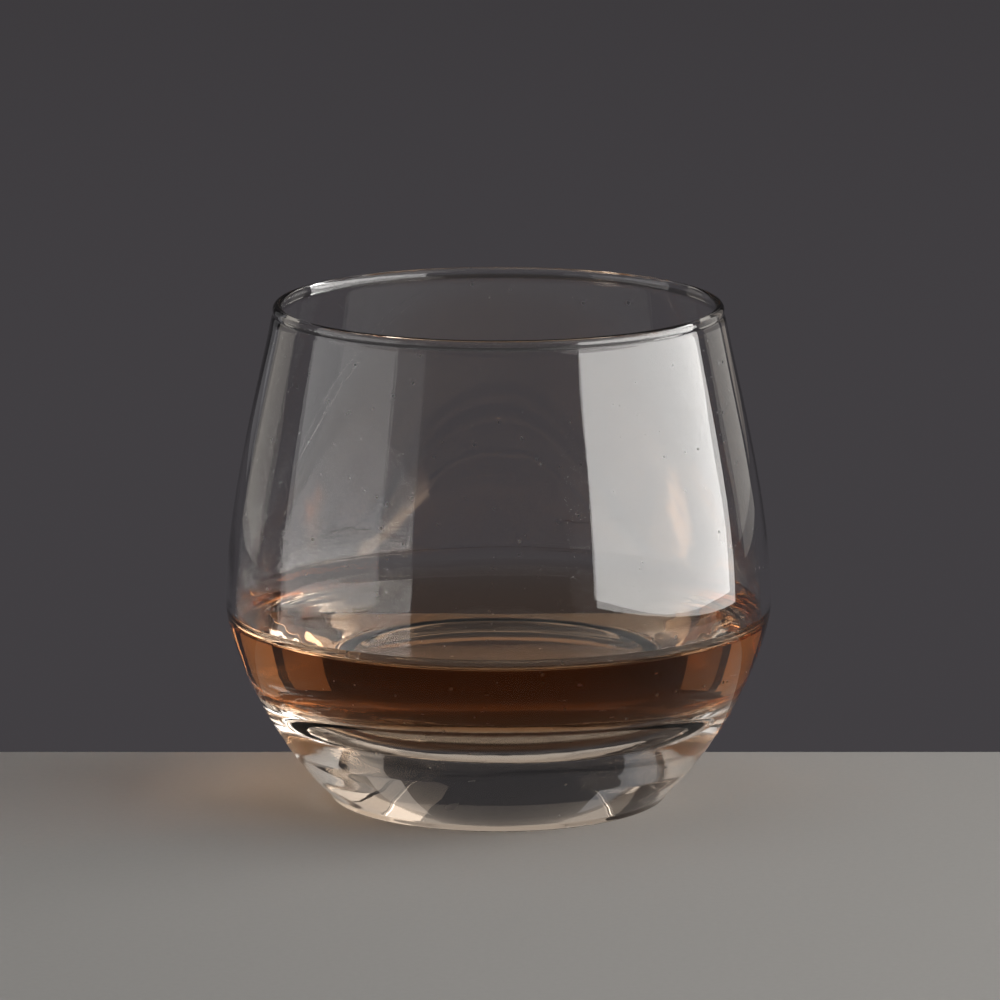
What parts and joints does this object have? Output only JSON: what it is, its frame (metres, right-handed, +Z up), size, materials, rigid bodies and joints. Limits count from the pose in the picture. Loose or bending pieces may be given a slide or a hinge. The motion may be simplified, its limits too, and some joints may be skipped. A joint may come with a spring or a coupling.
{
  "type": "whiskey tumbler",
  "caption": "Round-bellied clear glass tumbler with a heavy base, holding a short pour of amber whiskey that can swirl.",
  "frame": {"origin": "middle of the ring that the tumbler stands on, in the plane of the table", "axes": "+Z up along the turning axis of the glass; +X to the right and +Y away in the front view"},
  "size_m": [0.095, 0.095, 0.087],
  "materials": {
    "clear_glass": "polished",
    "amber_whiskey": "polished"
  },
  "bodies": {
    "glass": {"glass_body": "clear_glass"},
    "drink": {"whiskey": "amber_whiskey"}
  },
  "joints": [
    {"name": "whiskey_swirl", "type": "hinge", "parent": "glass", "child": "drink", "pos_m": [0, 0, 0.033], "axis": [0, 0, 1], "continuous": true}
  ]
}
